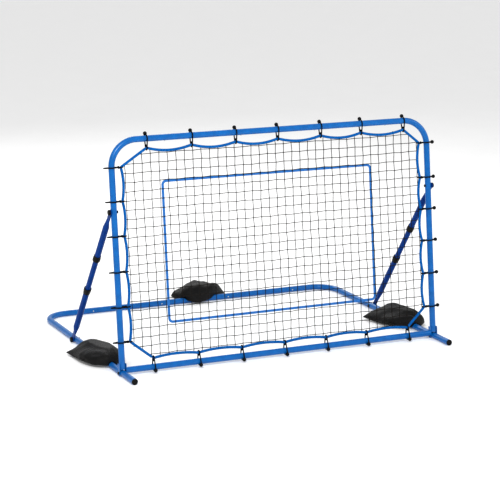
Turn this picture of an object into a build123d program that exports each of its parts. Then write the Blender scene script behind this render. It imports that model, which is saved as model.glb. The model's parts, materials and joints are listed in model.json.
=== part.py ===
from build123d import *
import math
import os

# A free-standing football rebounder: a leaning tube frame with a net, on a U-shaped base.
# Millimetres. +X to the right seen from the playing side, +Y to the rear, +Z up, ground at z = 0.
# The origin is on the ground, in the middle of the outer box of the whole object.

# ---------------------------------------------------------------- driving dimensions
TUBE_R = 16.0  # all frame tubes are 32 mm outside
WALL = 1.5
POST_X = 900.0  # posts stand above the side rails, 1800 mm apart
LEAN = 6.46  # degrees that the frame leans back
TOP_BAR = 1172.0  # hinge axis to top bar centre, along the slope
BOTTOM_BAR = 12.0  # hinge axis to bottom bar centre, along the slope
TOP_BEND = 136.0  # centre-line radius of the top corners
REAR_BAR = 1260.0  # hinge axis to rear bar centre, on the ground
REAR_BEND = 130.0
FOOT = 178.0  # front feet reach this far in front of the hinge axis
REAR_REACH = 1495.0  # hinge axis to the rear edge of the rear sandbag
SIDE_REACH = 1025.0  # outer edge of each side sandbag

SEAM_X = (-630.0, -210.0, 210.0, 630.0)  # seams of the top bar and of the rear bar
BOTTOM_SEAM_X = (-276.0, 276.0)
POST_SEAM = 914.0  # along the slope
RAIL_SEAM = 1038.0  # behind the hinge axis

FIT = 0.1  # radial gap of a tube in a tube
SPIGOT_R = TUBE_R - WALL - FIT
SPIGOT_LENGTH = 60.0
BUTTON_FROM_SEAM = 22.0
BUTTON_R = 4.0
BUTTON_PROUD = 3.0
BUTTON_TRAVEL = 4.6

BOLT_R = 4.0
BOLT_FIT = 0.05  # radial gap of a bolt in its running hole
EAR_GAP = 0.4  # between the rail and each clevis ear
EAR_THICKNESS = 3.0
EAR_R = 14.0
EAR_TOP = 48.0
WELD = (24.0, 44.0)  # the pads that join ear and post, along the slope
WELD_WIDTH = 9.0
COPE_R = 21.0  # the post's lower end is coped to clear the rail over the whole lean
STUB_LENGTH = 45.0

BRACE_ON_POST = 815.0  # along the slope
BRACE_ON_RAIL = 711.0  # behind the hinge axis
EYE_THICKNESS = 4.0
EYE_R = 15.0
EYE_GAP = 0.3
BRACE_LOWER_SHARE = 0.411  # of the brace's length, up to the lower collar's mouth
BRACE_UPPER_SHARE = 0.6533
MIDDLE_OVERLAP = 85.0
FLAT_END = 45.0  # the flattened eye's length, before it opens out to a round tube
ROUND_START = 110.0
OPEN_EYE_R = 6.4  # upper eye: a loose hole, so that the linkage can follow in proportion
OPEN_EYE_SHIFT = (-1.42, -0.62)  # along the brace, and across it towards the ground

NET_THICKNESS = 2.4
ROPE_R = 6.0
STRAP_WIDTH = 13.0
STRAP_THICKNESS = 2.0
TARGET = (-637.0, 560.0, 225.0, 958.0)  # left, right, bottom, top
TARGET_BEND = 26.0

CORD_R = 3.2
BALL_R = 10.0
LOOP_POINTS = 32
BUNGEE_TOP_X = (-709.0, -463.0, -218.0, 20.0, 268.0, 506.0, 760.0)
BUNGEE_BOTTOM_X = (-729.0, -479.0, -236.0, 11.0, 252.0, 493.0, 743.0)
BUNGEE_LEFT_UP = (155.0, 333.0, 511.0, 691.0, 866.0, 1037.0)
BUNGEE_RIGHT_UP = (160.0, 342.0, 520.0, 691.0, 862.0, 1048.0)
ROPE_TOP = 1125.0  # rope's height at the top bungees, along the slope
ROPE_BOTTOM = 57.0
ROPE_LEFT = -851.0
ROPE_RIGHT = 853.0
NET_INSET = 15.5  # the net starts this far inside the rope's line
# how far the rope bows inwards between two bungees of one side
ROPE_BOW = {"top": 19.0, "bottom": 11.0, "left": 10.0, "right": 13.0}

SIDE_BAG = (225.0, 340.0)  # width and length, lying flat
REAR_BAG = (205.0, 290.0)
BAG_HEIGHT = 86.0

# ---------------------------------------------------------------- derived places
HINGE_Y = -(REAR_REACH - FOOT) / 2
HINGE_Z = TUBE_R
SIN_LEAN = math.sin(math.radians(LEAN))
COS_LEAN = math.cos(math.radians(LEAN))
FRAME = Plane(origin=(0, HINGE_Y, HINGE_Z), x_dir=(1, 0, 0), z_dir=(0, -COS_LEAN, SIN_LEAN))
BASE = Plane(origin=(0, HINGE_Y, HINGE_Z), x_dir=(1, 0, 0), z_dir=(0, 0, 1))
SIDES = {"left": -1, "right": 1}


def on_frame(x, up, out=0.0):
    """A point of the leaning frame: across, up the slope, and out towards the player."""
    return FRAME.from_local_coords(Vector(x, up, out))


def on_base(x, back, up=0.0):
    """A point of the base: across, behind the hinge axis, and above the rail's centre."""
    return BASE.from_local_coords(Vector(x, back, up))


UP_SLOPE = (0, SIN_LEAN, COS_LEAN)
TO_PLAYER = (0, -COS_LEAN, SIN_LEAN)

BRACE_FOOT = Vector(BRACE_ON_RAIL, 0)
BRACE_HEAD = Vector(BRACE_ON_POST * SIN_LEAN, BRACE_ON_POST * COS_LEAN)
BRACE_LENGTH = (BRACE_HEAD - BRACE_FOOT).length
BRACE_DIRECTION = (0, (BRACE_HEAD.X - BRACE_FOOT.X) / BRACE_LENGTH, BRACE_HEAD.Y / BRACE_LENGTH)
LOWER_MOUTH = BRACE_LOWER_SHARE * BRACE_LENGTH
UPPER_MOUTH = BRACE_UPPER_SHARE * BRACE_LENGTH
EYE_X = POST_X + TUBE_R + EYE_GAP + EYE_THICKNESS / 2


# ---------------------------------------------------------------- tube pieces
def rod(start, end, radius):
    """A round bar between two points."""
    axis = Vector(end) - Vector(start)
    return extrude(Plane(origin=start, z_dir=axis) * Circle(radius), amount=axis.length)


def pipe(start, end, outer=TUBE_R, inner=TUBE_R - WALL):
    """A straight tube between two points."""
    axis = Vector(end) - Vector(start)
    ring = Plane(origin=start, z_dir=axis) * (Circle(outer) - Circle(inner))
    return extrude(ring, amount=axis.length)


def bent_pipe(start, corner, end, bend):
    """A tube of two straight legs joined by an arc."""
    path = FilletPolyline(start, corner, end, radius=bend)
    first = Plane(origin=start, z_dir=Vector(corner) - Vector(start))
    outer = sweep(first * Circle(TUBE_R), path)
    inner = sweep(first * Circle(TUBE_R - WALL), path)
    return outer - inner


def spigot(seam, direction, reach=SPIGOT_LENGTH):
    """The reduced end of a tube that slips into the next one, past the seam."""
    seam = Vector(seam)
    step = Vector(direction).normalized()
    neck = pipe(seam - step * 8, seam, TUBE_R - WALL / 2, SPIGOT_R - WALL)
    return neck + pipe(seam - step * 8, seam + step * reach, SPIGOT_R, SPIGOT_R - WALL)


def button_hole(seam, direction, outward):
    """A round cutter through the socket and the spigot, where a snap button sits."""
    centre = Vector(seam) + Vector(direction).normalized() * BUTTON_FROM_SEAM
    return rod(centre, centre + Vector(outward).normalized() * (TUBE_R + 2), BUTTON_R + FIT)


def snap_button(seam, direction, outward):
    """A domed button on a V spring, lying in the spigot."""
    centre = Vector(seam) + Vector(direction).normalized() * BUTTON_FROM_SEAM
    place = Plane(origin=centre, x_dir=direction, z_dir=outward)
    top = TUBE_R + BUTTON_PROUD
    leaf_high = 10.0
    leaf_low = -7.0
    leaf_half = 4.0
    leaf_end = 18.0
    bend_r = (leaf_high - leaf_low) / 2
    bend_mid = (leaf_high + leaf_low) / 2
    stem = extrude(Circle(BUTTON_R), amount=top - leaf_high)
    stem = fillet(stem.edges().sort_by(Axis.Z)[-1], 2.4)
    stem = Pos(0, 0, leaf_high) * stem
    side = Plane.XZ
    ring = Pos(leaf_end, bend_mid) * (Circle(bend_r + 0.5) - Circle(bend_r - 0.5))
    half = ring & (Pos(leaf_end + bend_r, bend_mid) * Rectangle(2 * bend_r, 4 * bend_r))
    upper = Pos(leaf_end / 2 - 3, leaf_high) * Rectangle(leaf_end + 6, 1)
    lower = Pos(leaf_end / 2 - 3, leaf_low) * Rectangle(leaf_end + 6, 1)
    leaf = extrude(side * (half + upper + lower), amount=leaf_half, both=True)
    return place * (stem + leaf)


def segment(start, end, socket_seam=None, spigot_seam=None, outward=None):
    """One straight tube with a socket at its first end and a spigot past its last end."""
    along = Vector(end) - Vector(start)
    body = pipe(start, end)
    if spigot_seam:
        body += spigot(end, along)
        body -= button_hole(end, along, outward)
    if socket_seam:
        body -= button_hole(start, along, outward)
    return body


# ---------------------------------------------------------------- base
ALONG_RAIL = (0, 1, 0)
RAIL_BUTTONS_OUT = (0, 0, 1)
REAR_BUTTONS_OUT = (0, -1, 0)
CAP_FLANGE = 6.0


def side_rail(side):
    x = side * POST_X
    start = on_base(x, -FOOT + CAP_FLANGE)
    end = on_base(x, RAIL_SEAM)
    body = segment(start, end, spigot_seam=True, outward=RAIL_BUTTONS_OUT)
    for back in (0, BRACE_ON_RAIL):
        body -= rod(on_base(x - 40, back), on_base(x + 40, back), BOLT_R + BOLT_FIT)
    return body


def foot_cap(side):
    x = side * POST_X
    flange = rod(on_base(x, -FOOT), on_base(x, -FOOT + CAP_FLANGE), TUBE_R)
    flange = fillet(flange.edges().sort_by(Axis.Y)[0], 2.5)
    plug = rod(on_base(x, -FOOT + CAP_FLANGE), on_base(x, -FOOT + 26), TUBE_R - WALL - FIT)
    return flange + plug


def rear_corner(side):
    x = side * POST_X
    body = bent_pipe(
        on_base(x, RAIL_SEAM), on_base(x, REAR_BAR), on_base(side * SEAM_X[-1], REAR_BAR), REAR_BEND
    )
    body -= button_hole(on_base(x, RAIL_SEAM), ALONG_RAIL, RAIL_BUTTONS_OUT)
    if side < 0:
        body += spigot(on_base(SEAM_X[0], REAR_BAR), (1, 0, 0))
        return body - button_hole(on_base(SEAM_X[0], REAR_BAR), (1, 0, 0), REAR_BUTTONS_OUT)
    return body - button_hole(on_base(SEAM_X[-1], REAR_BAR), (1, 0, 0), REAR_BUTTONS_OUT)


def rear_bar(index):
    ends = on_base(SEAM_X[index], REAR_BAR), on_base(SEAM_X[index + 1], REAR_BAR)
    return segment(*ends, socket_seam=True, spigot_seam=True, outward=REAR_BUTTONS_OUT)


def rail_buttons():
    return [
        snap_button(on_base(side * POST_X, RAIL_SEAM), ALONG_RAIL, RAIL_BUTTONS_OUT)
        for side in SIDES.values()
    ]


def rear_buttons():
    return [snap_button(on_base(x, REAR_BAR), (1, 0, 0), REAR_BUTTONS_OUT) for x in SEAM_X]


# ---------------------------------------------------------------- front frame
TOP_BUTTONS_OUT = (0, -SIN_LEAN, -COS_LEAN)
BACK_BUTTONS_OUT = (0, COS_LEAN, -SIN_LEAN)
EAR_FACE = TUBE_R + EAR_GAP  # ear's inner face, from the post's centre line
EAR_BACK = EAR_FACE + EAR_THICKNESS
BAR_END_X = POST_X - EAR_BACK


def clevis_ear(x_low, x_high):
    """A plate with a round foot about the hinge axis and a running hole for the bolt."""
    outline = Circle(EAR_R) + Pos(0, EAR_TOP / 2) * Rectangle(2 * EAR_R, EAR_TOP)
    outline -= Circle(BOLT_R + BOLT_FIT)
    place = Plane(origin=on_frame(x_low, 0), x_dir=TO_PLAYER, z_dir=(1, 0, 0))
    turn = 1 if place.y_dir.Z > 0 else -1
    return extrude(place * Rot(0, 0, 0 if turn > 0 else 180) * outline, amount=x_high - x_low)


def nut_window(side):
    """Clears the hinge bolt's nut, which sits low in the end of the bottom bar."""
    inner = side * BAR_END_X
    return rod(on_frame(inner - side * 14, 0), on_frame(inner, 0), 9.5)


def post(side):
    x = side * POST_X
    tube = segment(on_frame(x, 0), on_frame(x, POST_SEAM), spigot_seam=True, outward=BACK_BUTTONS_OUT)
    tube -= rod(on_base(x, -60), on_base(x, 60), COPE_R)
    tube -= Pos(x, HINGE_Y, HINGE_Z - 40) * Box(80, 120, 80)
    tube -= rod(on_frame(x - 40, BRACE_ON_POST), on_frame(x + 40, BRACE_ON_POST), BOLT_R + BOLT_FIT)
    for low in (x - EAR_BACK, x + EAR_FACE):
        tube += clevis_ear(low, low + EAR_THICKNESS)
    weld_low, weld_high = WELD
    for edge in (-1, 1):
        middle = x + edge * (TUBE_R + EAR_GAP / 2)
        weld = FRAME * (Pos(middle, (weld_low + weld_high) / 2, 0) * Box(1.4, weld_high - weld_low, WELD_WIDTH))
        tube += weld
    stub_end = side * (BAR_END_X - STUB_LENGTH)
    stub = pipe(on_frame(side * BAR_END_X, BOTTOM_BAR), on_frame(stub_end, BOTTOM_BAR), SPIGOT_R, SPIGOT_R - WALL)
    stub -= button_hole(on_frame(side * BAR_END_X, BOTTOM_BAR), (-side, 0, 0), BACK_BUTTONS_OUT)
    return tube + (stub - nut_window(side))


def top_corner(side):
    x = side * POST_X
    body = bent_pipe(
        on_frame(x, POST_SEAM), on_frame(x, TOP_BAR), on_frame(side * SEAM_X[-1], TOP_BAR), TOP_BEND
    )
    body -= button_hole(on_frame(x, POST_SEAM), UP_SLOPE, BACK_BUTTONS_OUT)
    if side < 0:
        body += spigot(on_frame(SEAM_X[0], TOP_BAR), (1, 0, 0))
        return body - button_hole(on_frame(SEAM_X[0], TOP_BAR), (1, 0, 0), TOP_BUTTONS_OUT)
    return body - button_hole(on_frame(SEAM_X[-1], TOP_BAR), (1, 0, 0), TOP_BUTTONS_OUT)


def top_bar(index):
    ends = on_frame(SEAM_X[index], TOP_BAR), on_frame(SEAM_X[index + 1], TOP_BAR)
    return segment(*ends, socket_seam=True, spigot_seam=True, outward=TOP_BUTTONS_OUT)


def bottom_bar_outer(side):
    outer = on_frame(side * BAR_END_X, BOTTOM_BAR)
    seam = on_frame(side * BOTTOM_SEAM_X[-1], BOTTOM_BAR)
    body = pipe(outer, seam)
    body -= button_hole(outer, (-side, 0, 0), BACK_BUTTONS_OUT)
    body -= nut_window(side)
    if side < 0:
        body += spigot(seam, (1, 0, 0))
    return body - button_hole(seam, (1, 0, 0), BACK_BUTTONS_OUT)


def bottom_bar_centre():
    ends = [on_frame(x, BOTTOM_BAR) for x in BOTTOM_SEAM_X]
    return segment(*ends, socket_seam=True, spigot_seam=True, outward=BACK_BUTTONS_OUT)


def post_buttons():
    return [
        snap_button(on_frame(side * POST_X, POST_SEAM), UP_SLOPE, BACK_BUTTONS_OUT)
        for side in SIDES.values()
    ]


def top_buttons():
    return [snap_button(on_frame(x, TOP_BAR), (1, 0, 0), TOP_BUTTONS_OUT) for x in SEAM_X]


def bottom_buttons():
    made = [snap_button(on_frame(x, BOTTOM_BAR), (1, 0, 0), BACK_BUTTONS_OUT) for x in BOTTOM_SEAM_X]
    for side in SIDES.values():
        made.append(snap_button(on_frame(side * BAR_END_X, BOTTOM_BAR), (-side, 0, 0), BACK_BUTTONS_OUT))
    return made


# ---------------------------------------------------------------- hinge and brace hardware
NUT_R = 7.0
NUT_HEIGHT = 7.0
WASHER_R = 12.0
WASHER_THICKNESS = 1.6
KNOB_R = 14.0
KNOB_HEIGHT = 9.0
HEAD_HEIGHT = 5.3


def across(place, side, start, end, shape):
    """A profile extruded along X, from start to end measured outwards from the centre plane."""
    origin = place(side * start)
    return extrude(Plane(origin=origin, z_dir=(side, 0, 0)) * shape, amount=end - start)


def hexagon(radius):
    return RegularPolygon(radius, 6, major_radius=False)


def hinge_bolt(side):
    def place(x):
        return on_base(x, 0)

    outer = POST_X + EAR_BACK
    shank = across(place, side, BAR_END_X - NUT_HEIGHT - 2, outer, Circle(BOLT_R))
    return shank + across(place, side, outer, outer + HEAD_HEIGHT, hexagon(6.5))


def hinge_nut(side):
    def place(x):
        return on_base(x, 0)

    nut = across(place, side, BAR_END_X - NUT_HEIGHT, BAR_END_X, hexagon(6.5))
    return nut - across(place, side, BAR_END_X - 20, BAR_END_X + 5, Circle(BOLT_R))


def brace_place(at_post):
    if at_post:
        return lambda x: on_frame(x, BRACE_ON_POST)
    return lambda x: on_base(x, BRACE_ON_RAIL)


def brace_bolt(side, at_post):
    """A bolt with its head on the inner side of the post or rail and its tip in the knob."""
    place = brace_place(at_post)
    inner = POST_X - TUBE_R
    tip = EYE_X + EYE_THICKNESS / 2 + EYE_GAP + WASHER_THICKNESS + KNOB_HEIGHT - 3
    shank = across(place, side, inner, tip, Circle(BOLT_R))
    return shank + across(place, side, inner - HEAD_HEIGHT, inner, hexagon(6.5))


def brace_washer(side, at_post):
    start = EYE_X + EYE_THICKNESS / 2 + EYE_GAP
    ring = Circle(WASHER_R) - Circle(BOLT_R)
    return across(brace_place(at_post), side, start, start + WASHER_THICKNESS, ring)


def brace_knob(side, at_post):
    """A round hand knob with a domed face and eight grip flutes."""
    place = brace_place(at_post)
    start = EYE_X + EYE_THICKNESS / 2 + EYE_GAP + WASHER_THICKNESS
    body = across(place, side, start, start + KNOB_HEIGHT, Circle(KNOB_R))
    rim = body.edges().sort_by(Axis.X)[-1 if side > 0 else 0]
    body = fillet(rim, 3.5)
    flute = Circle(2.2)
    for k in range(8):
        angle = math.radians(45 * k)
        spot = Pos((KNOB_R + 1) * math.cos(angle), (KNOB_R + 1) * math.sin(angle)) * flute
        body -= across(place, side, start - 1, start + KNOB_HEIGHT + 1, spot)
    return body - across(place, side, start - 1, start + KNOB_HEIGHT - 3, Circle(BOLT_R))


# ---------------------------------------------------------------- braces
def brace_plane(side):
    return Plane(
        origin=on_base(side * EYE_X, BRACE_ON_RAIL), x_dir=(1, 0, 0), z_dir=BRACE_DIRECTION
    )


def flat_ellipse():
    return Ellipse(EYE_THICKNESS / 2, EYE_R)


def eye(hole_r, shift_along, shift_across):
    """The flattened end of a tube, from its hole at 0 up to the round tube at ROUND_START."""
    tab = Circle(EYE_R) + Pos(FLAT_END / 2 + 4, 0) * Rectangle(FLAT_END + 8, 2 * EYE_R)
    tab -= Pos(shift_along, shift_across) * Circle(hole_r)
    lying = Plane(origin=(-EYE_THICKNESS / 2, 0, 0), x_dir=(0, 0, 1), z_dir=(1, 0, 0))
    plate = extrude(lying * tab, amount=EYE_THICKNESS)
    skin = loft([Pos(0, 0, FLAT_END) * flat_ellipse(), Pos(0, 0, ROUND_START) * Circle(TUBE_R)])
    hollow = loft([
        Pos(0, 0, FLAT_END + 12) * Ellipse(0.6, EYE_R - 3),
        Pos(0, 0, ROUND_START) * Circle(TUBE_R - WALL),
    ])
    return plate + (skin - hollow)


def brace_lower_tube(side):
    tube = pipe((0, 0, ROUND_START), (0, 0, LOWER_MOUTH))
    return brace_plane(side) * (eye(BOLT_R + BOLT_FIT, 0, 0) + tube)


def brace_middle_tube(side):
    start = LOWER_MOUTH - MIDDLE_OVERLAP
    end = UPPER_MOUTH + MIDDLE_OVERLAP
    return brace_plane(side) * pipe((0, 0, start), (0, 0, end), SPIGOT_R, SPIGOT_R - WALL)


def brace_upper_tube(side):
    tube = pipe((0, 0, ROUND_START), (0, 0, BRACE_LENGTH - UPPER_MOUTH))
    whole = eye(OPEN_EYE_R, -OPEN_EYE_SHIFT[0], OPEN_EYE_SHIFT[1]) + tube
    flipped = Plane(origin=(0, 0, BRACE_LENGTH), x_dir=(-1, 0, 0), z_dir=(0, 0, -1))
    return brace_plane(side) * (flipped * whole)


COLLAR_R = 20.0
COLLAR_LENGTH = 38.0
COLLAR_LIP = 12.0


def collar():
    """A cup-shaped locking collar: a sleeve on the outer tube with a lip round the inner one."""
    lip_r = SPIGOT_R + 0.1
    cup = extrude(Circle(TUBE_R + 2.2), amount=6)
    cup += loft([Pos(0, 0, 6) * Circle(TUBE_R + 2.2), Pos(0, 0, 20) * Circle(COLLAR_R)])
    cup += Pos(0, 0, 20) * extrude(Circle(COLLAR_R), amount=COLLAR_LENGTH - 20)
    cup = fillet(cup.edges().sort_by(Axis.Z)[-1], 2)
    sleeve = extrude(Circle(TUBE_R + 0.05), amount=COLLAR_LENGTH - COLLAR_LIP)
    return cup - sleeve - extrude(Circle(lip_r), amount=COLLAR_LENGTH + 1)


def lower_collar(side):
    return brace_plane(side) * (Pos(0, 0, LOWER_MOUTH - COLLAR_LENGTH + COLLAR_LIP) * collar())


def upper_collar(side):
    mouth = UPPER_MOUTH + COLLAR_LENGTH - COLLAR_LIP
    flipped = Plane(origin=(0, 0, mouth), x_dir=(-1, 0, 0), z_dir=(0, 0, -1))
    return brace_plane(side) * (flipped * collar())


# ---------------------------------------------------------------- net, rope and target strap
def rope_ties(inset=0.0):
    """The rope's tie points in order round the frame, moved inwards by inset."""
    left, right = ROPE_LEFT + inset, ROPE_RIGHT - inset
    bottom, top = ROPE_BOTTOM + inset, ROPE_TOP - inset
    ties = [(left, up) for up in BUNGEE_LEFT_UP]
    ties += [(x, top) for x in BUNGEE_TOP_X]
    ties += [(right, up) for up in reversed(BUNGEE_RIGHT_UP)]
    ties += [(x, bottom) for x in reversed(BUNGEE_BOTTOM_X)]
    return ties


def rope_line(inset=0.0):
    """A closed curve through the ties: it bows inwards between two ties of one side."""
    ties = rope_ties(inset)
    points = []
    for a, b in zip(ties, ties[1:] + ties[:1]):
        middle_x = (a[0] + b[0]) / 2
        middle_up = (a[1] + b[1]) / 2
        if a[1] == b[1]:
            middle_up += ROPE_BOW["bottom"] if middle_up < TOP_BAR / 2 else -ROPE_BOW["top"]
        elif a[0] == b[0]:
            middle_x += ROPE_BOW["left"] if middle_x < 0 else -ROPE_BOW["right"]
        points += [a, (middle_x, middle_up)]
    return Spline(points, periodic=True)


def edge_rope():
    line = rope_line()
    return FRAME * sweep(Plane(origin=line @ 0, z_dir=line % 0) * Circle(ROPE_R), line)


def net_panel():
    outline = make_face(rope_line(NET_INSET))
    return FRAME * (Pos(0, 0, -NET_THICKNESS / 2) * extrude(outline, amount=NET_THICKNESS))


def target_strap():
    left, right, bottom, top = TARGET
    middle = Pos((left + right) / 2, (bottom + top) / 2)
    outer = RectangleRounded(right - left, top - bottom, TARGET_BEND)
    inner = RectangleRounded(
        right - left - 2 * STRAP_WIDTH, top - bottom - 2 * STRAP_WIDTH, TARGET_BEND - STRAP_WIDTH
    )
    behind = -NET_THICKNESS / 2 - 0.3 - STRAP_THICKNESS
    return FRAME * (Pos(0, 0, behind) * extrude(middle * (outer - inner), amount=STRAP_THICKNESS))


# ---------------------------------------------------------------- bungees
def bungee_plane(bar_point, towards_rope):
    """Local X points from the bar's centre to the rope, local Y towards the rear of the net."""
    rear = Vector(TO_PLAYER) * -1
    return Plane(origin=bar_point, x_dir=towards_rope, z_dir=Vector(towards_rope).cross(rear))


def bungee_loop(bar_point, towards_rope, rope_distance, turns):
    """An elastic loop in one plane, round the bar, round the rope and round each turn point."""
    outline = [
        Edge.make_circle(TUBE_R + CORD_R + 0.3),
        Edge.make_circle(ROPE_R + CORD_R + 1.5, Plane(origin=(rope_distance, 0, 0))),
    ]
    outline += [Edge.make_circle(CORD_R + 1.5, Plane(origin=(x, y, 0))) for x, y in turns]
    hull = make_hull(outline).faces()[0].outer_wire()
    line = Spline([hull @ (k / LOOP_POINTS) for k in range(LOOP_POINTS)], periodic=True)
    loop = sweep(Plane(origin=line @ 0, z_dir=line % 0) * Circle(CORD_R), line)
    return bungee_plane(bar_point, towards_rope) * loop


def bungee_ball(bar_point, towards_rope, ball):
    return bungee_plane(bar_point, towards_rope) * (Pos(*ball) * Sphere(BALL_R))


DOWN_SLOPE = (0, -SIN_LEAN, -COS_LEAN)
# Where the loop turns beyond the bar: from the bar's centre towards the rope, and to the rear.
# The ball sits at the first turn.
BUNGEE_ROWS = {
    "top": {
        "bar": [on_frame(x, TOP_BAR) for x in BUNGEE_TOP_X],
        "to_rope": DOWN_SLOPE,
        "distance": TOP_BAR - ROPE_TOP,
        "turns": [(-25.5, 10.5)],
    },
    "bottom": {
        "bar": [on_frame(x, BOTTOM_BAR) for x in BUNGEE_BOTTOM_X],
        "to_rope": UP_SLOPE,
        "distance": ROPE_BOTTOM - BOTTOM_BAR,
        "turns": [(-16, -24)],
    },
    "left": {
        "bar": [on_frame(-POST_X, up) for up in BUNGEE_LEFT_UP],
        "to_rope": (1, 0, 0),
        "distance": ROPE_LEFT + POST_X,
        "turns": [(8, 26), (-34, 6)],
    },
    "right": {
        "bar": [on_frame(POST_X, up) for up in BUNGEE_RIGHT_UP],
        "to_rope": (-1, 0, 0),
        "distance": POST_X - ROPE_RIGHT,
        "turns": [(-38, 5)],
    },
}


def bungee_loops(row):
    spec = BUNGEE_ROWS[row]
    return [bungee_loop(p, spec["to_rope"], spec["distance"], spec["turns"]) for p in spec["bar"]]


def bungee_balls(row):
    spec = BUNGEE_ROWS[row]
    return [bungee_ball(p, spec["to_rope"], spec["turns"][0]) for p in spec["bar"]]


# ---------------------------------------------------------------- sandbags
def pillow(size, turn):
    """A filled bag lying flat: rounded plan, rounded edges, flat underneath."""
    shape = Box(*size, BAG_HEIGHT)
    shape = fillet(shape.edges().filter_by(Axis.Z), 50)
    shape = fillet(shape.edges().group_by(Axis.Z)[-1], 38)
    shape = fillet(shape.edges().group_by(Axis.Z)[0], 12)
    return Rot(0, 0, turn) * (Pos(0, 0, BAG_HEIGHT / 2) * shape)


def channel(start, end):
    """Room for a rail that the bag is draped over."""
    gap = 0.4
    axis = Vector(end) - Vector(start)
    middle = (Vector(start) + Vector(end)) / 2
    size_x = max(abs(axis.X), 2 * (TUBE_R + gap))
    size_y = max(abs(axis.Y), 2 * (TUBE_R + gap))
    below = Pos(middle.X, middle.Y, HINGE_Z / 2) * Box(size_x, size_y, HINGE_Z)
    return rod(start, end, TUBE_R + gap) + below


def side_bag(side, turn, front):
    """The bag over a side rail. front is its front edge, behind the hinge axis."""
    bag = pillow(SIDE_BAG, turn)
    size = bag.bounding_box()
    x = side * (SIDE_REACH - size.size.X / 2)
    y = HINGE_Y + front + size.size.Y / 2
    bag = Pos(x - size.center().X, y - size.center().Y, 0) * bag
    return bag - channel(on_base(side * POST_X, 20), on_base(side * POST_X, RAIL_SEAM - 60))


def rear_bag(turn, x):
    bag = pillow(REAR_BAG, turn)
    size = bag.bounding_box()
    y = HINGE_Y + REAR_REACH - size.size.Y / 2
    bag = Pos(x - size.center().X, y - size.center().Y, 0) * bag
    return bag - channel(on_base(x - 400, REAR_BAR), on_base(x + 400, REAR_BAR))


# ---------------------------------------------------------------- write the nodes
def write(name, shapes):
    solids = []
    for shape in shapes if isinstance(shapes, list) else [shapes]:
        solids += shape.solids()
    export_step(Compound(children=solids), f"parts/{name}.step")


def both(piece):
    return [piece(side) for side in SIDES.values()]


os.makedirs("parts", exist_ok=True)

for side_name, side in SIDES.items():
    write(f"side_rail_{side_name}", side_rail(side))
    write(f"foot_cap_{side_name}", foot_cap(side))
    write(f"rear_corner_{side_name}", rear_corner(side))
    write(f"post_{side_name}", post(side))
    write(f"top_corner_{side_name}", top_corner(side))
    write(f"bottom_bar_{side_name}", bottom_bar_outer(side))
    write(f"brace_lower_tube_{side_name}", brace_lower_tube(side))
    write(f"brace_middle_tube_{side_name}", brace_middle_tube(side))
    write(f"brace_upper_tube_{side_name}", brace_upper_tube(side))
    write(f"brace_lower_collar_{side_name}", lower_collar(side))
    write(f"brace_upper_collar_{side_name}", upper_collar(side))

for index, place in enumerate(("left", "centre", "right")):
    write(f"rear_bar_{place}", rear_bar(index))
    write(f"top_bar_{place}", top_bar(index))
write("bottom_bar_centre", bottom_bar_centre())

write("rail_snap_buttons", rail_buttons())
write("rear_bar_snap_buttons", rear_buttons())
write("post_snap_buttons", post_buttons())
write("top_bar_snap_buttons", top_buttons())
write("bottom_bar_snap_buttons", bottom_buttons())

write("hinge_bolts", both(hinge_bolt))
write("hinge_nuts", both(hinge_nut))
for level, at_post in (("lower", False), ("upper", True)):
    write(f"brace_{level}_bolts", [brace_bolt(side, at_post) for side in SIDES.values()])
    write(f"brace_{level}_washers", [brace_washer(side, at_post) for side in SIDES.values()])
    write(f"brace_{level}_knobs", [brace_knob(side, at_post) for side in SIDES.values()])

write("net_panel", net_panel())
write("edge_rope", edge_rope())
write("target_strap", target_strap())
for row in BUNGEE_ROWS:
    write(f"bungee_loops_{row}", bungee_loops(row))
    write(f"bungee_balls_{row}", bungee_balls(row))

write("sandbag_left", side_bag(-1, 4, 150))
write("sandbag_right", side_bag(1, 15, 175))
write("sandbag_rear", rear_bag(-58, 82))
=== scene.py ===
import json
import math
import random

import bpy
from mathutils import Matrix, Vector


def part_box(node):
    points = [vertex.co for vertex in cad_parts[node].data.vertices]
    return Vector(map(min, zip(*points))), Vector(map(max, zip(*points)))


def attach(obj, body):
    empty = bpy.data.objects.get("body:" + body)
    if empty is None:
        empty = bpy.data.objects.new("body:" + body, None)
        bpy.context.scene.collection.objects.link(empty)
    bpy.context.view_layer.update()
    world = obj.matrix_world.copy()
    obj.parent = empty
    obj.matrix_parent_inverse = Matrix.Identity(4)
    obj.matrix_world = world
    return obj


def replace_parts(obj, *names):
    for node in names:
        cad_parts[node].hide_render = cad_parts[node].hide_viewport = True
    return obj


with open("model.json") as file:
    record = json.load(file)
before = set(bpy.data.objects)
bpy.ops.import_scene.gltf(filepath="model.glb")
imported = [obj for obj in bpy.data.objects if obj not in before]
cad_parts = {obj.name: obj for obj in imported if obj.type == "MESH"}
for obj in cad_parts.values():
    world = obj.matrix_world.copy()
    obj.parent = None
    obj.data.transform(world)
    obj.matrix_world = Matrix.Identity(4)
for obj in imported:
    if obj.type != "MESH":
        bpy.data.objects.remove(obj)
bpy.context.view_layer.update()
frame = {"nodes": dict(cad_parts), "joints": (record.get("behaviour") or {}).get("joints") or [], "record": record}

# ---------------------------------------------------------------- frame of reference
TILT = next(j for j in frame["joints"] if j["name"] == "frame_tilt")
HINGE = Vector(TILT["pos_m"])
TUBE_R = 0.016


def middle(node):
    low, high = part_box(node)
    return (low + high) / 2


UP = middle("top_bar_centre") - HINGE
UP = Vector((0, UP.y, UP.z)).normalized()
OUT = Vector((0, -UP.z, UP.y))  # towards the player


def on_frame(x, up, out=0.0):
    """A point of the leaning frame, in the row frame."""
    return Vector((x, HINGE.y, HINGE.z)) + UP * up + OUT * out


# ---------------------------------------------------------------- materials
BLEND_RANGE = (0.35, 0.68)  # the texture values at which a blend starts and ends


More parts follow.
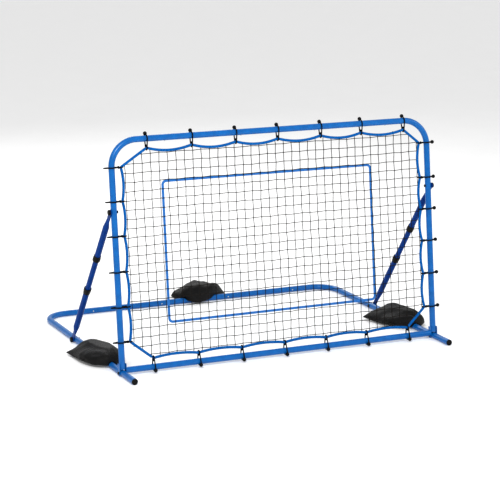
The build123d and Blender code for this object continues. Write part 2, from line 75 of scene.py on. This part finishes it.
class Shader:
    """A material with a principled shader and short helpers for adding nodes."""

    def __init__(self, name, **sockets):
        self.material = bpy.data.materials.new(name)
        self.material.use_nodes = True
        self.nodes = self.material.node_tree.nodes
        self.links = self.material.node_tree.links
        self.base = self.nodes["Principled BSDF"]
        for key, value in sockets.items():
            self.base.inputs[key.replace("_", " ")].default_value = value

    def add(self, kind, **inputs):
        node = self.nodes.new("ShaderNode" + kind)
        for key, value in inputs.items():
            node.inputs[key.replace("_", " ")].default_value = value
        return node

    def join(self, source, output, target, socket):
        self.links.new(source.outputs[output], target.inputs[socket])

    def texture(self, kind, **inputs):
        """A texture laid out in object coordinates, so that every detail has a real size."""
        node = self.add("Tex" + kind, **inputs)
        coords = self.add("TexCoord")
        self.join(coords, "Object", node, "Vector")
        return node

    def noise(self, scale, detail):
        return self.texture("Noise", Scale=scale, Detail=detail)

    def blend(self, source, output, low, high):
        """Runs the base colour from low to high, led by a texture."""
        ramp = self.add("ValToRGB")
        for element, position, colour in zip(ramp.color_ramp.elements, BLEND_RANGE, (low, high)):
            element.position = position
            element.color = (*colour, 1)
        self.join(source, output, ramp, "Fac")
        self.join(ramp, "Color", self.base, "Base Color")

    def bump(self, source, output, strength, distance):
        node = self.add("Bump", Strength=strength, Distance=distance)
        self.join(source, output, node, "Height")
        self.join(node, "Normal", self.base, "Normal")


def powder_coat(name, low, high, **sockets):
    """Smooth paint, with small changes of tone and a very fine orange peel."""
    shader = Shader(name, **sockets)
    tone = shader.noise(30, 3)
    shader.blend(tone, "Fac", low, high)
    peel = shader.noise(900, 2)
    shader.bump(peel, "Fac", 0.12, 0.0002)
    return shader.material


def bright_blue():
    finish = {"Roughness": 0.3, "Coat_Weight": 0.1, "Coat_Roughness": 0.12, "Specular_IOR_Level": 0.3}
    return powder_coat("blue_powder_coat", (0.001, 0.106, 0.345), (0.002, 0.128, 0.41), **finish)


def dark_blue():
    finish = {"Roughness": 0.42, "Specular_IOR_Level": 0.12}
    return powder_coat("dark_blue_powder_coat", (0.0005, 0.036, 0.19), (0.001, 0.046, 0.24), **finish)


def black_plastic():
    shader = Shader("black_plastic", Roughness=0.5, Specular_IOR_Level=0.18)
    grain = shader.noise(60, 4)
    shader.blend(grain, "Fac", (0.002, 0.002, 0.0022), (0.006, 0.006, 0.0065))
    texture = shader.noise(1400, 2)
    shader.bump(texture, "Fac", 0.25, 0.0002)
    return shader.material


def steel(name, low, high, roughness):
    shader = Shader(name, Metallic=1.0, Roughness=roughness)
    wear = shader.noise(220, 5)
    shader.blend(wear, "Fac", low, high)
    shader.bump(wear, "Fac", 0.1, 0.0001)
    return shader.material


def cord_material(name, low, high, size):
    """A braided cord: small cells, size across, that stand for the yarns; each cell is painted darker from its
    middle into the grooves between yarns, as painted shade.
    """
    shader = Shader(name, Roughness=0.75, Specular_IOR_Level=0.12)
    yarn_relief_and_shade = shader.texture("Voronoi", Scale=1 / size)
    # painted shade: the colour darkens where the bump sinks into the grooves between the yarn cells
    shader.blend(yarn_relief_and_shade, "Distance", high, low)
    shader.bump(yarn_relief_and_shade, "Distance", 0.7, -0.0008)
    return shader.material


def webbing_material():
    shader = Shader("blue_webbing", Roughness=0.7, Sheen_Weight=0.3, Sheen_Roughness=0.5)
    weave = shader.texture("Checker", Scale=420.0)
    shader.blend(weave, "Fac", (0.001, 0.105, 0.36), (0.002, 0.150, 0.48))
    shader.bump(weave, "Fac", 0.5, 0.0004)
    return shader.material


def net_material():
    shader = Shader("black_net_twine", Roughness=0.8, Specular_IOR_Level=0.15)
    twist = shader.noise(700, 2)
    shader.blend(twist, "Fac", (0.006, 0.005, 0.0045), (0.016, 0.013, 0.011))
    shader.bump(twist, "Fac", 0.6, 0.0004)
    return shader.material


def bag_material():
    """Closely woven polyester with a little dust and shallow creases."""
    shader = Shader("bag_weave", Roughness=0.5, Specular_IOR_Level=0.22)
    dust = shader.noise(14, 5)
    shader.blend(dust, "Fac", (0.0015, 0.0015, 0.0017), (0.005, 0.0047, 0.0045))
    weave = shader.texture("Checker", Scale=700.0)
    creases = shader.noise(38, 6)
    weave_share = 0.05
    total = shader.add("Math")
    total.operation = "MULTIPLY_ADD"
    total.inputs[1].default_value = weave_share
    shader.join(weave, "Fac", total, 0)
    shader.join(creases, "Fac", total, 2)
    shader.bump(total, "Value", 0.6, 0.005)
    return shader.material


def floor_material():
    shader = Shader("studio_floor", Roughness=0.8, Emission_Color=(1, 1, 1, 1), Emission_Strength=0.1)
    grain = shader.noise(3, 3)
    shader.blend(grain, "Fac", (0.93, 0.93, 0.93), (0.95, 0.95, 0.95))
    return shader.material


MATERIALS = {
    "blue_tube": bright_blue(),
    "zinc_steel": steel("zinc_steel", (0.48, 0.49, 0.5), (0.66, 0.67, 0.68), 0.32),
    "black_steel": steel("black_steel", (0.02, 0.02, 0.022), (0.05, 0.05, 0.055), 0.42),
    "black_plastic": black_plastic(),
    "black_cord": cord_material("black_elastic", (0.001, 0.001, 0.0012), (0.006, 0.006, 0.007), 0.0016),
    "blue_rope": cord_material("blue_rope", (0.001, 0.075, 0.26), (0.002, 0.135, 0.44), 0.0035),
    "blue_webbing": webbing_material(),
    "black_net": net_material(),
    "bag_fabric": bag_material(),
}
DARK_BLUE = dark_blue()  # the braces, which are a darker blue than the frame


def paint(obj, material):
    obj.data.materials.clear()
    obj.data.materials.append(material)


def paint_cad():
    for entry in frame["record"]["subparts"]:
        name = entry["node"]
        brace = name.startswith("brace_") and "tube" in name
        paint(frame["nodes"][name], DARK_BLUE if brace else MATERIALS[entry["material_slot"]])


# ---------------------------------------------------------------- mesh helpers
def new_object(name, vertices, faces, material_slot, body):
    mesh = bpy.data.meshes.new(name)
    mesh.from_pydata(vertices, [], faces)
    mesh.update()
    mesh.polygons.foreach_set("use_smooth", [True] * len(mesh.polygons))
    obj = bpy.data.objects.new(name, mesh)
    bpy.context.collection.objects.link(obj)
    paint(obj, MATERIALS[material_slot])
    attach(obj, body)
    return obj


class Tubes:
    """Collects thin tubes and small balls into one mesh."""

    def __init__(self):
        self.vertices = []
        self.faces = []

    def ring(self, centre, along, radius, sides):
        """Adds a circle of vertices. Its start keeps to one side, so that a bent tube does not twist."""
        across = along.orthogonal().normalized()
        if abs(along.x) < 0.9:
            across = along.cross(Vector((1, 0, 0))).normalized()
        other = along.cross(across).normalized()
        for k in range(sides):
            angle = 2 * math.pi * k / sides
            self.vertices.append(centre + (across * math.cos(angle) + other * math.sin(angle)) * radius)

    def tube(self, points, radius, sides=5, closed=False):
        """A tube along points, joined end to end if closed and capped if not."""
        first = len(self.vertices)
        count = len(points)
        for i, point in enumerate(points):
            before = points[i - 1] if i or closed else point
            after = points[(i + 1) % count] if i < count - 1 or closed else point
            self.ring(point, (after - before).normalized(), radius, sides)
        spans = count if closed else count - 1
        for i in range(spans):
            low = first + i * sides
            high = first + ((i + 1) % count) * sides
            for k in range(sides):
                n = (k + 1) % sides
                self.faces.append((low + k, low + n, high + n, high + k))
        if not closed:
            self.faces.append(tuple(range(first, first + sides))[::-1])
            last = first + (count - 1) * sides
            self.faces.append(tuple(range(last, last + sides)))

    def ball(self, centre, radii, rows, sides):
        """An ellipsoid with its own half sizes along X, Y and Z."""
        first = len(self.vertices)
        for i in range(1, rows):
            lift = math.pi * i / rows
            for k in range(sides):
                angle = 2 * math.pi * k / sides
                spot = (math.sin(lift) * math.cos(angle), math.sin(lift) * math.sin(angle), math.cos(lift))
                self.vertices.append(centre + Vector([s * r for s, r in zip(spot, radii)]))
        top = len(self.vertices)
        self.vertices.append(centre + Vector((0, 0, radii[2])))
        self.vertices.append(centre - Vector((0, 0, radii[2])))
        for k in range(sides):
            n = (k + 1) % sides
            self.faces.append((top, first + k, first + n))
            for i in range(rows - 2):
                low = first + i * sides
                self.faces.append((low + k, low + sides + k, low + sides + n, low + n))
            low = first + (rows - 2) * sides
            self.faces.append((low + k, top + 1, low + n))

    def make(self, name, material_slot, body):
        return new_object(name, self.vertices, self.faces, material_slot, body)


# ---------------------------------------------------------------- net
NET_PITCH = 0.0463
NET_SHIFT = 0.004  # how far the middle strand lies to the right of the centre line
NET_FOOT = 0.012  # how far the lowest row lies above the sheet's lower edge
NET_COLUMNS = range(-20, 21)
STRAND_R = 0.0019
KNOT_RADII = (0.0034, 0.0029, 0.0034)
KNOT_CLEAR = 0.006  # the least distance from a knot to the end of its strand
KNOT_STRAY = 0.0016
LINE_STRAY = 0.001
NET_TO_ROPE = 0.0125
RAY_MARGIN = 0.05
LOW_END, HIGH_END = -1, 99  # stand-in row numbers for the ends of an upright strand
LEFT_END, RIGHT_END = -30, 30  # stand-in column numbers for the ends of a level strand


def edge_of_net(start, direction):
    """The distance from start, along direction, at which the net's sheet begins."""
    net_sheet = frame["nodes"]["net_panel"]
    hit, place, _, _ = net_sheet.ray_cast(start, direction)
    return (place - start).length if hit else None


def strand_span(start, direction, reach):
    """Both ends of a strand, measured from start, out to the rope."""
    low = edge_of_net(start, direction)
    high = edge_of_net(start + direction * reach, -direction)
    if low is None or high is None:
        return None
    return low - NET_TO_ROPE, reach - high + NET_TO_ROPE


def knot_shift(i, j):
    """A small steady offset for each knot, so that the mesh is not a perfect grid."""
    x = KNOT_STRAY * math.sin(1.7 * i + 2.9 * j) + LINE_STRAY * math.sin(0.31 * j)
    up = KNOT_STRAY * math.sin(2.3 * i - 1.3 * j) + LINE_STRAY * math.sin(0.43 * i)
    return x, up


def column_x(i):
    return NET_SHIFT + i * NET_PITCH


def knot_place(i, j, up):
    shift_x, shift_up = knot_shift(i, j)
    return on_frame(column_x(i) + shift_x, up + shift_up)


def upright_strand(mesh, i, row_up, low_end, reach):
    span = strand_span(on_frame(column_x(i), low_end), UP, reach)
    if span is None:
        return
    start, end = (low_end + d for d in span)
    points = [on_frame(column_x(i) + knot_shift(i, LOW_END)[0], start)]
    for j, up in enumerate(row_up):
        if start + KNOT_CLEAR < up < end - KNOT_CLEAR:
            points.append(knot_place(i, j, up))
    points.append(on_frame(column_x(i) + knot_shift(i, HIGH_END)[0], end))
    mesh.tube(points, STRAND_R)


def level_strand(mesh, j, up, half):
    """A strand across the net, with a knot at every upright strand that it crosses."""
    span = strand_span(on_frame(-half, up), Vector((1, 0, 0)), 2 * half)
    if span is None:
        return
    start, end = (d - half for d in span)
    points = [on_frame(start, up + knot_shift(LEFT_END, j)[1])]
    for i in NET_COLUMNS:
        if start + KNOT_CLEAR < column_x(i) < end - KNOT_CLEAR:
            place = knot_place(i, j, up)
            points.append(place)
            mesh.ball(place, KNOT_RADII, 5, 6)
    points.append(on_frame(end, up + knot_shift(RIGHT_END, j)[1]))
    mesh.tube(points, STRAND_R)


def net():
    """A knotted square net, laced to the edge rope."""
    mesh = Tubes()
    low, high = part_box("net_panel")
    height = (high.z - low.z) / UP.z
    base_up = (low.z - HINGE.z) / UP.z
    row_up = [base_up + NET_FOOT + j * NET_PITCH for j in range(int(height / NET_PITCH) + 2)]
    for i in NET_COLUMNS:
        upright_strand(mesh, i, row_up, base_up - RAY_MARGIN, height + 2 * RAY_MARGIN)
    for j, up in enumerate(row_up):
        level_strand(mesh, j, up, high.x + RAY_MARGIN)
    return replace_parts(mesh.make("net", "black_net", "front_frame"), "net_panel")


# ---------------------------------------------------------------- edge rope and bungee knots
ROPE_R = 0.007
ROPE_BOW = {"top": 0.019, "bottom": 0.011, "left": 0.010, "right": 0.013}
ROPE_STEPS = 12  # from one bungee to the next
LOOP_PAST_ROPE = 0.0139  # the loop's outer end, beyond the rope's centre
HITCH_R = 0.0062
HITCH_TO_ROPE = 0.011
WRAP_R = 0.0058
WRAP_CORD_R = 0.0018
WRAP_TURNS = 2
WRAP_RISE = 0.007
WRAP_STEPS = 24
TO_ROPE = {"top": -UP, "bottom": UP, "left": Vector((1, 0, 0)), "right": Vector((-1, 0, 0))}


def tie_points(row):
    """Where the rope's centre passes through each bungee of a row."""
    side = TO_ROPE[row]
    ties = []
    for piece in loose_parts(frame["nodes"][f"bungee_loops_{row}"]):
        far = max(p.dot(side) for p in piece)
        centre = sum(piece, Vector()) / len(piece)
        in_plane = centre - OUT * (centre - HINGE).dot(OUT)
        ties.append(in_plane + side * (far - LOOP_PAST_ROPE - in_plane.dot(side)))
    upright = row in ("left", "right")
    return sorted(ties, key=lambda p: p.z if upright else p.x)


def edge_rope():
    """A rope that bows inwards from bungee to bungee and runs straight across the corners."""
    order = [("left", p) for p in tie_points("left")] + [("top", p) for p in tie_points("top")]
    order += [("right", p) for p in reversed(tie_points("right"))]
    order += [("bottom", p) for p in reversed(tie_points("bottom"))]
    points = []
    for (row, a), (next_row, b) in zip(order, order[1:] + order[:1]):
        bow = ROPE_BOW[row] if row == next_row else 0
        for k in range(ROPE_STEPS):
            t = k / ROPE_STEPS
            points.append(a.lerp(b, t) + TO_ROPE[row] * bow * 4 * t * (1 - t))
    mesh = Tubes()
    mesh.tube(points, ROPE_R, 12, closed=True)
    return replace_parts(mesh.make("edge_rope_braided", "blue_rope", "front_frame"), "edge_rope")


def bungee_knots():
    """The hitch where each bungee grips the edge rope, on the bar's side of it."""
    knots = Tubes()
    for row, side in TO_ROPE.items():
        for tie in tie_points(row):
            centre = tie - side * HITCH_TO_ROPE
            knots.ball(centre, (HITCH_R, HITCH_R, HITCH_R), 7, 10)
            wrap(knots, centre, side)
    return knots.make("bungee_knots", "black_cord", "front_frame")


def wrap(mesh, centre, along):
    """Turns of cord round a knot."""
    across = along.orthogonal().normalized()
    other = along.cross(across)
    points = []
    for k in range(WRAP_STEPS + 1):
        angle = 2 * math.pi * WRAP_TURNS * k / WRAP_STEPS
        lift = (k / WRAP_STEPS - 0.5) * WRAP_RISE
        points.append(centre + along * lift + (across * math.cos(angle) + other * math.sin(angle)) * WRAP_R)
    mesh.tube(points, WRAP_CORD_R, 6)


def loose_parts(obj):
    """The vertex positions of each separate piece in a mesh."""
    mesh = obj.data
    parent = list(range(len(mesh.vertices)))

    def root(i):
        while parent[i] != i:
            parent[i] = parent[parent[i]]
            i = parent[i]
        return i

    spots = {}
    for v in mesh.vertices:
        key = tuple(round(c, 5) for c in v.co)
        parent[v.index] = spots.setdefault(key, v.index)
    for edge in mesh.edges:
        a, b = (root(i) for i in edge.vertices)
        parent[a] = b
    groups = {}
    for v in mesh.vertices:
        groups.setdefault(root(v.index), []).append(v.co.copy())
    return list(groups.values())


# ---------------------------------------------------------------- sandbags
BAG_STEPS = (60, 44)
RIM_HEIGHT = 0.018
RIM_WAVE = 0.006
BAG_FULLNESS = 0.42  # the smaller it is, the more steeply the bag swells from its rim
DRAPE_RISE = 0.020
DRAPE_REACH = 0.05
WAVE_COUNT = 7
CREASE_DEPTH = 0.0016
FAN_DEPTH = 0.0022  # of the gathers along the rim
FAN_FOLDS = 16
TOP_SPARE = 0.002
CLOTH_GAP = 0.004
GROUND_GAP = 0.0006
RAIL_GAP = 0.0012


def bag_steps(count):
    """Steps from -1 to 1 that lie closer together towards the ends."""
    for k in range(count + 1):
        even = 2 * k / count - 1
        yield math.sin(even * math.pi / 2) * 0.5 + even * 0.5


class Bag:
    """A filled bag with a sewn rim, lying over a rail. u and v run from -1 to 1 across and along it."""

    def __init__(self, centre, size, turn, rail_point, rail_along, tips, rounding, seed):
        """tips are the corners pulled to a point. rounding is how far the others are rounded off."""
        self.centre = centre
        self.width, self.length, self.height = size
        self.turn = turn
        self.rail_point = rail_point
        self.rail_across = Vector((-rail_along.y, rail_along.x, 0))
        self.tips = tips
        self.rounding = rounding
        self.seed = seed
        rng = random.Random(seed)
        self.waves = [
            (rng.uniform(2, 7), rng.uniform(2, 7), rng.uniform(0, 6.28), rng.uniform(0.3, 1))
            for _ in range(WAVE_COUNT)
        ]

    def plan(self, u, v):
        """The place on the ground under a point of the bag."""
        pull = max((max(0, a * u) * max(0, b * v) for a, b in self.tips), default=0)
        round_off = self.rounding * (1 - pull)
        x = u * math.sqrt(1 - round_off * v * v / 2) * self.width / 2
        y = v * math.sqrt(1 - round_off * u * u / 2) * self.length / 2
        cos_turn, sin_turn = math.cos(self.turn), math.sin(self.turn)
        across = self.centre.x + x * cos_turn - y * sin_turn
        along = self.centre.y + x * sin_turn + y * cos_turn
        return Vector((across, along, 0))

    def fullness(self, u, v):
        """Nought at the rim, one in the middle."""
        return (max(0, 1 - u * u) ** BAG_FULLNESS) * (max(0, 1 - v * v) ** BAG_FULLNESS)

    def creases(self, u, v):
        total = sum(w * math.sin(a * u * 2 + b * v * 2 + p) for a, b, p, w in self.waves)
        edge = max(abs(u), abs(v)) ** 3
        fan = math.sin(FAN_FOLDS * math.atan2(v, u) + self.seed) * edge
        return CREASE_DEPTH * total + FAN_DEPTH * fan

    def past_rail(self, spot):
        return (spot - self.rail_point).dot(self.rail_across)

    def support(self, spot):
        """The lowest height for the bag's underside: the ground, or the rail's top."""
        across = self.past_rail(spot)
        reach = TUBE_R + RAIL_GAP
        return TUBE_R + math.sqrt(reach**2 - across**2) if abs(across) < reach else GROUND_GAP

    def rim(self, u, v):
        return RIM_HEIGHT + RIM_WAVE * math.sin(5 * u + 3 * v + self.seed)

    def top(self, u, v, spot):
        full = self.fullness(u, v)
        drape = DRAPE_RISE * math.exp(-((self.past_rail(spot) / DRAPE_REACH) ** 2))
        swell = (self.height - RIM_HEIGHT - RIM_WAVE) * full
        lift = self.rim(u, v) + swell + self.creases(u, v) * (0.35 + 0.65 * full) + drape
        return max(min(lift, self.height + TOP_SPARE), self.support(spot) + CLOTH_GAP)

    def underside(self, u, v, spot):
        lift = self.rim(u, v) * (1 - self.fullness(u, v)) + GROUND_GAP
        return max(lift, self.support(spot))

    def vertices(self):
        steps_u, steps_v = BAG_STEPS
        found = []
        for height_at in (self.top, self.underside):
            for v in bag_steps(steps_v):
                for u in bag_steps(steps_u):
                    spot = self.plan(u, v)
                    found.append(Vector((spot.x, spot.y, height_at(u, v, spot))))
        return found


def bag_faces():
    """The upper sheet, the lower sheet and the strip that joins them round the rim."""
    steps_u, steps_v = BAG_STEPS
    row = steps_u + 1
    sheet = row * (steps_v + 1)
    faces = []
    for j in range(steps_v):
        for i in range(steps_u):
            a = j * row + i
            faces.append((a, a + 1, a + row + 1, a + row))
    faces += [tuple(k + sheet for k in quad[::-1]) for quad in faces]
    rim = list(range(row))
    rim += [j * row + steps_u for j in range(1, steps_v + 1)]
    rim += [steps_v * row + i for i in range(steps_u - 1, -1, -1)]
    rim += [j * row for j in range(steps_v - 1, 0, -1)]
    faces += [(b, a, a + sheet, b + sheet) for a, b in zip(rim, rim[1:] + rim[:1])]
    return faces


def make_bag(name, node, shape):
    obj = new_object(name, shape.vertices(), bag_faces(), "bag_fabric", "base")
    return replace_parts(obj, node)


def sandbags():
    along_y = Vector((0, 1, 0))
    rear_point = (-1, 1)
    left = Bag(
        middle("sandbag_left"), size=(0.236, 0.345, 0.086), turn=math.radians(4),
        rail_point=middle("side_rail_left"), rail_along=along_y, tips=[rear_point], rounding=1.0, seed=1,
    )
    right = Bag(
        middle("sandbag_right"), size=(0.235, 0.340, 0.090), turn=math.radians(15),
        rail_point=middle("side_rail_right"), rail_along=along_y, tips=[rear_point], rounding=1.0, seed=2,
    )
    rear = Bag(
        middle("sandbag_rear"), size=(0.232, 0.315, 0.100), turn=math.radians(-58),
        rail_point=middle("rear_bar_centre"), rail_along=Vector((1, 0, 0)), tips=[], rounding=0.55, seed=3,
    )
    make_bag("bag_left", "sandbag_left", left)
    make_bag("bag_right", "sandbag_right", right)
    make_bag("bag_rear", "sandbag_rear", rear)


# ---------------------------------------------------------------- studio
FLOOR_SIZE = 60
FLOOR_LEVEL = -0.0005  # just under the part, so that the two never share a plane
WORLD_STRENGTH = 0.6
LIGHT_AIM = Vector((0, 0, 0.5))
CAMERA_FROM_HINGE = Vector((-4.055, -8.476, 2.638))
CAMERA_AZIMUTH = math.radians(24.49)
CAMERA_ELEVATION = math.radians(12.51)
CAMERA_ROLL = math.radians(0.09)
CAMERA_LENS = 133.8
CAMERA_SENSOR = 36
CAMERA_FAR = 200


def floor():
    bpy.ops.mesh.primitive_plane_add(size=FLOOR_SIZE, location=(0, 0, FLOOR_LEVEL))
    plane = bpy.context.object
    plane.name = "floor"
    paint(plane, floor_material())


def softbox(name, spot, size, power):
    light = bpy.data.lights.new(name, "AREA")
    light.shape = "RECTANGLE"
    light.size, light.size_y = size
    light.energy = power
    obj = bpy.data.objects.new(name, light)
    bpy.context.collection.objects.link(obj)
    obj.location = spot
    obj.rotation_euler = (LIGHT_AIM - Vector(spot)).to_track_quat("-Z", "Y").to_euler()


def studio():
    world = bpy.data.worlds.new("studio")
    bpy.context.scene.world = world
    world.use_nodes = True
    backdrop = world.node_tree.nodes["Background"]
    backdrop.inputs["Color"].default_value = (1, 1, 1, 1)
    backdrop.inputs["Strength"].default_value = WORLD_STRENGTH
    softbox("key", spot=(-2.5, -4.5, 4.5), size=(2.2, 1.2), power=200)
    softbox("fill", spot=(4.5, -3.0, 3.0), size=(3, 3), power=60)
    softbox("rear", spot=(0.5, 5.0, 4.0), size=(4, 2), power=90)
    floor()


def camera():
    data = bpy.data.cameras.new("camera")
    data.lens = CAMERA_LENS
    data.sensor_width = CAMERA_SENSOR
    data.clip_end = CAMERA_FAR
    obj = bpy.data.objects.new("camera", data)
    bpy.context.collection.objects.link(obj)
    obj.location = HINGE + CAMERA_FROM_HINGE
    forward = Vector((
        math.sin(CAMERA_AZIMUTH) * math.cos(CAMERA_ELEVATION),
        math.cos(CAMERA_AZIMUTH) * math.cos(CAMERA_ELEVATION),
        -math.sin(CAMERA_ELEVATION),
    ))
    obj.rotation_euler = forward.to_track_quat("-Z", "Y").to_euler()
    obj.rotation_euler.rotate_axis("Z", CAMERA_ROLL)
    bpy.context.scene.camera = obj
    bpy.context.scene.view_settings.view_transform = "Standard"
    bpy.context.scene.view_settings.look = "Medium High Contrast"


paint_cad()
net()
edge_rope()
bungee_knots()
sandbags()
studio()
camera()
